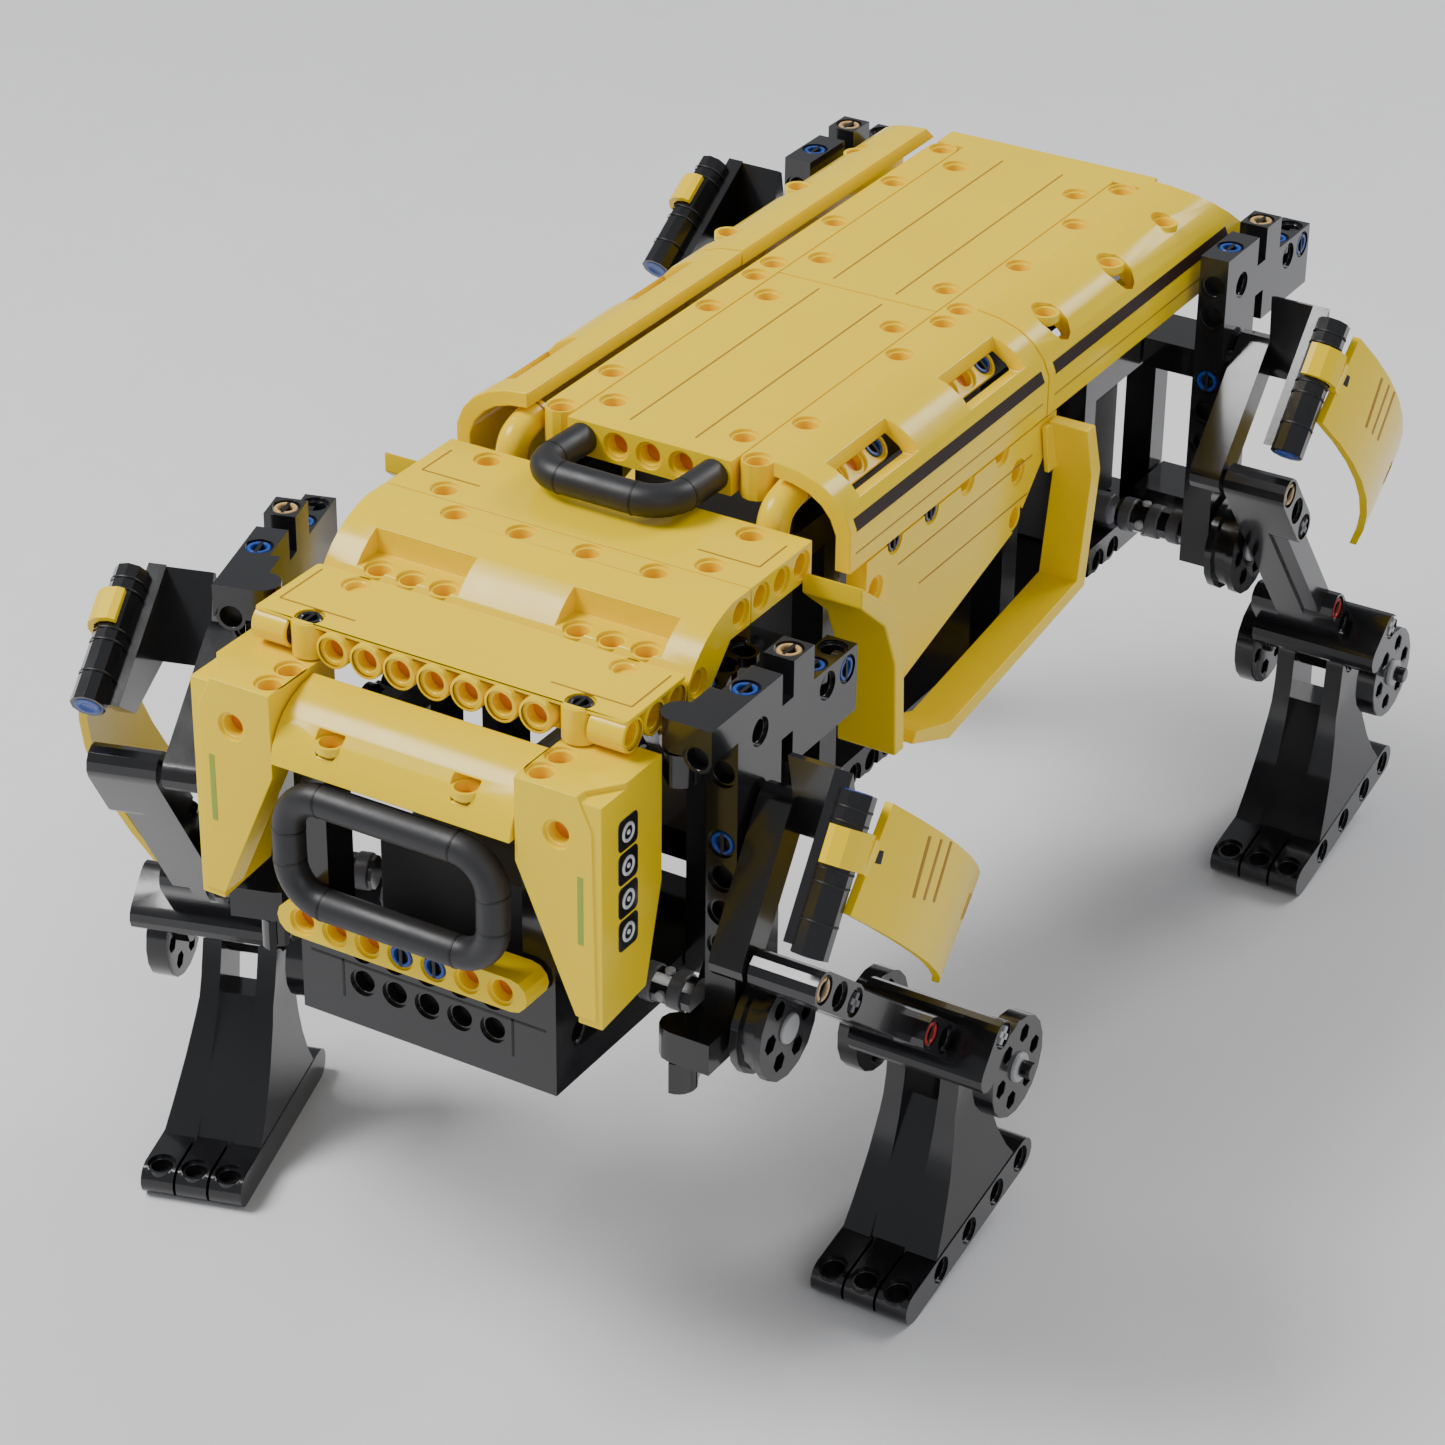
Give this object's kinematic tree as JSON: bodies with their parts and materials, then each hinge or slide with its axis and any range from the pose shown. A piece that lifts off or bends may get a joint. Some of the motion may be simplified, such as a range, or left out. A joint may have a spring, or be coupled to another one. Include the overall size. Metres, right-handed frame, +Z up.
{
  "type": "quadruped robot dog",
  "caption": "Walking robot dog of yellow and black building beams: long plated back, boxed head with a hose ring mouth, four linkage legs with guards and flat feet.",
  "frame": {"origin": "on the ground under the middle of the bounding box", "axes": "+Y from head to tail, +X to the right side of the body seen from the front, +Z up"},
  "size_m": [0.202, 0.3252, 0.1788],
  "materials": {
    "yellow_plastic": "gloss",
    "black_plastic": "gloss",
    "black_hose": "matte",
    "grey_plastic": "satin"
  },
  "bodies": {
    "body": {"head_top_plate": "yellow_plastic", "neck_curved_panel": "yellow_plastic", "neck_plate": "yellow_plastic", "face_panel": "yellow_plastic", "cheek_right": "yellow_plastic", "cheek_left": "yellow_plastic", "face_ring": "black_hose", "chin_beam": "yellow_plastic", "carry_handle": "black_hose", "shoulder_hose_right": "yellow_plastic", "shoulder_hose_left": "yellow_plastic", "back_panel_front": "yellow_plastic", "back_panel_rear": "yellow_plastic", "back_strip_right": "yellow_plastic", "back_strip_left": "yellow_plastic", "side_shell_front_right": "yellow_plastic", "side_shell_front_left": "yellow_plastic", "side_shell_rear_right": "yellow_plastic", "side_shell_rear_left": "yellow_plastic", "side_panel_right": "yellow_plastic", "side_panel_left": "yellow_plastic", "belly_arch_right": "yellow_plastic", "belly_arch_left": "yellow_plastic", "hip_fender_right": "yellow_plastic", "hip_fender_left": "yellow_plastic", "tail_panel": "yellow_plastic", "chassis_frame": "black_plastic", "front_hip_beams": "black_plastic", "front_gearbox": "grey_plastic", "rear_gearbox": "grey_plastic", "battery_box": "grey_plastic", "hip_bracket_rear_right": "black_plastic", "hip_bracket_rear_left": "black_plastic"},
    "drive_shaft": {"drive_shaft": "grey_plastic"},
    "hip_front_right": {"hip_bracket_front_right": "black_plastic"},
    "crank_front_right": {"crank_disc_front_right": "black_plastic"},
    "rocker_front_right": {"rocker_front_right": "black_plastic", "leg_guard_front_right": "yellow_plastic"},
    "thigh_front_right": {"thigh_front_right": "black_plastic"},
    "lower_leg_front_right": {"lower_leg_front_right": "black_plastic", "knee_axle_front_right": "black_plastic"},
    "hip_front_left": {"hip_bracket_front_left": "black_plastic"},
    "crank_front_left": {"crank_disc_front_left": "black_plastic"},
    "rocker_front_left": {"rocker_front_left": "black_plastic", "leg_guard_front_left": "yellow_plastic"},
    "thigh_front_left": {"thigh_front_left": "black_plastic"},
    "lower_leg_front_left": {"lower_leg_front_left": "black_plastic", "knee_axle_front_left": "black_plastic"},
    "crank_rear_right": {"crank_disc_rear_right": "black_plastic"},
    "rocker_rear_right": {"rocker_rear_right": "black_plastic", "leg_guard_rear_right": "yellow_plastic"},
    "thigh_rear_right": {"thigh_rear_right": "black_plastic"},
    "lower_leg_rear_right": {"lower_leg_rear_right": "black_plastic", "knee_axle_rear_right": "black_plastic"},
    "crank_rear_left": {"crank_disc_rear_left": "black_plastic"},
    "rocker_rear_left": {"rocker_rear_left": "black_plastic", "leg_guard_rear_left": "yellow_plastic"},
    "thigh_rear_left": {"thigh_rear_left": "black_plastic"},
    "lower_leg_rear_left": {"lower_leg_rear_left": "black_plastic", "knee_axle_rear_left": "black_plastic"}
  },
  "joints": [
    {"name": "drive_shaft", "type": "hinge", "parent": "body", "child": "drive_shaft", "pos_m": [0.005, -0.01098, 0.10643], "axis": [0, 1, 0], "continuous": true},
    {"name": "steer_front_right", "type": "hinge", "parent": "body", "child": "hip_front_right", "pos_m": [0.0546, -0.13098, 0.12003], "axis": [0, 0, 1], "range_deg": [-17, 3]},
    {"name": "crank_front_right", "type": "hinge", "parent": "hip_front_right", "child": "crank_front_right", "pos_m": [0.0686, -0.11738, 0.08443], "axis": [1, 0, 0], "continuous": true},
    {"name": "rocker_front_right", "type": "hinge", "parent": "hip_front_right", "child": "rocker_front_right", "pos_m": [0.069, -0.11578, 0.13523], "axis": [1, 0, 0], "range_deg": [-27, 2]},
    {"name": "thigh_front_right", "type": "hinge", "parent": "rocker_front_right", "child": "thigh_front_right", "pos_m": [0.077, -0.13321, 0.1084], "axis": [1, 0, 0], "range_deg": [-0.76, 10.21]},
    {"name": "knee_front_right", "type": "hinge", "parent": "thigh_front_right", "child": "lower_leg_front_right", "pos_m": [0.077, -0.06297, 0.05212], "axis": [1, 0, 0], "range_deg": [-0.41, 5.51]},
    {"name": "steer_front_left", "type": "hinge", "parent": "body", "child": "hip_front_left", "pos_m": [-0.0446, -0.13098, 0.12003], "axis": [0, 0, 1], "range_deg": [-20, 0]},
    {"name": "crank_front_left", "type": "hinge", "parent": "hip_front_left", "child": "crank_front_left", "pos_m": [-0.06196, -0.12207, 0.08443], "axis": [0.9563, 0.2924, 0], "continuous": true},
    {"name": "rocker_front_left", "type": "hinge", "parent": "hip_front_left", "child": "rocker_front_left", "pos_m": [-0.06281, -0.12066, 0.13523], "axis": [0.9563, 0.2924, 0], "range_deg": [-2, 27]},
    {"name": "thigh_front_left", "type": "hinge", "parent": "rocker_front_left", "child": "thigh_front_left", "pos_m": [-0.06236, -0.1495, 0.11923], "axis": [0.9563, 0.2924, 0], "range_deg": [-10.21, 0.76]},
    {"name": "knee_front_left", "type": "hinge", "parent": "thigh_front_left", "child": "lower_leg_front_left", "pos_m": [-0.07749, -0.10001, 0.0456], "axis": [0.9563, 0.2924, 0], "range_deg": [-5.51, 0.41]},
    {"name": "crank_rear_right", "type": "hinge", "parent": "body", "child": "crank_rear_right", "pos_m": [0.0686, 0.10182, 0.09643], "axis": [1, 0, 0], "continuous": true},
    {"name": "rocker_rear_right", "type": "hinge", "parent": "body", "child": "rocker_rear_right", "pos_m": [0.069, 0.10342, 0.14723], "axis": [1, 0, 0], "range_deg": [-27, 2]},
    {"name": "thigh_rear_right", "type": "hinge", "parent": "rocker_rear_right", "child": "thigh_rear_right", "pos_m": [0.077, 0.082, 0.12345], "axis": [1, 0, 0], "range_deg": [-0.56, 7.56]},
    {"name": "knee_rear_right", "type": "hinge", "parent": "thigh_rear_right", "child": "lower_leg_rear_right", "pos_m": [0.077, 0.13754, 0.05263], "axis": [1, 0, 0], "range_deg": [-0.76, 10.26]},
    {"name": "crank_rear_left", "type": "hinge", "parent": "body", "child": "crank_rear_left", "pos_m": [-0.0586, 0.10182, 0.09643], "axis": [1, 0, 0], "continuous": true},
    {"name": "rocker_rear_left", "type": "hinge", "parent": "body", "child": "rocker_rear_left", "pos_m": [-0.059, 0.10342, 0.14723], "axis": [1, 0, 0], "range_deg": [-2, 27]},
    {"name": "thigh_rear_left", "type": "hinge", "parent": "rocker_rear_left", "child": "thigh_rear_left", "pos_m": [-0.067, 0.07658, 0.12981], "axis": [1, 0, 0], "range_deg": [-7.56, 0.56]},
    {"name": "knee_rear_left", "type": "hinge", "parent": "thigh_rear_left", "child": "lower_leg_rear_left", "pos_m": [-0.067, 0.118, 0.0499], "axis": [1, 0, 0], "range_deg": [-10.26, 0.76]}
  ],
  "couplings": [
    {"joint": "drive_shaft", "follows": "crank_front_right", "ratio": 1},
    {"joint": "thigh_front_right", "follows": "rocker_front_right", "ratio": -0.378},
    {"joint": "knee_front_right", "follows": "rocker_front_right", "ratio": -0.204},
    {"joint": "crank_front_left", "follows": "crank_front_right", "ratio": 1},
    {"joint": "rocker_front_left", "follows": "rocker_front_right", "ratio": -1},
    {"joint": "thigh_front_left", "follows": "rocker_front_right", "ratio": 0.378},
    {"joint": "knee_front_left", "follows": "rocker_front_right", "ratio": 0.204},
    {"joint": "crank_rear_right", "follows": "crank_front_right", "ratio": 1},
    {"joint": "rocker_rear_right", "follows": "rocker_front_right", "ratio": 1},
    {"joint": "thigh_rear_right", "follows": "rocker_front_right", "ratio": -0.28},
    {"joint": "knee_rear_right", "follows": "rocker_front_right", "ratio": -0.38},
    {"joint": "crank_rear_left", "follows": "crank_front_right", "ratio": 1},
    {"joint": "rocker_rear_left", "follows": "rocker_front_right", "ratio": -1},
    {"joint": "thigh_rear_left", "follows": "rocker_front_right", "ratio": 0.28},
    {"joint": "knee_rear_left", "follows": "rocker_front_right", "ratio": 0.38}
  ]
}
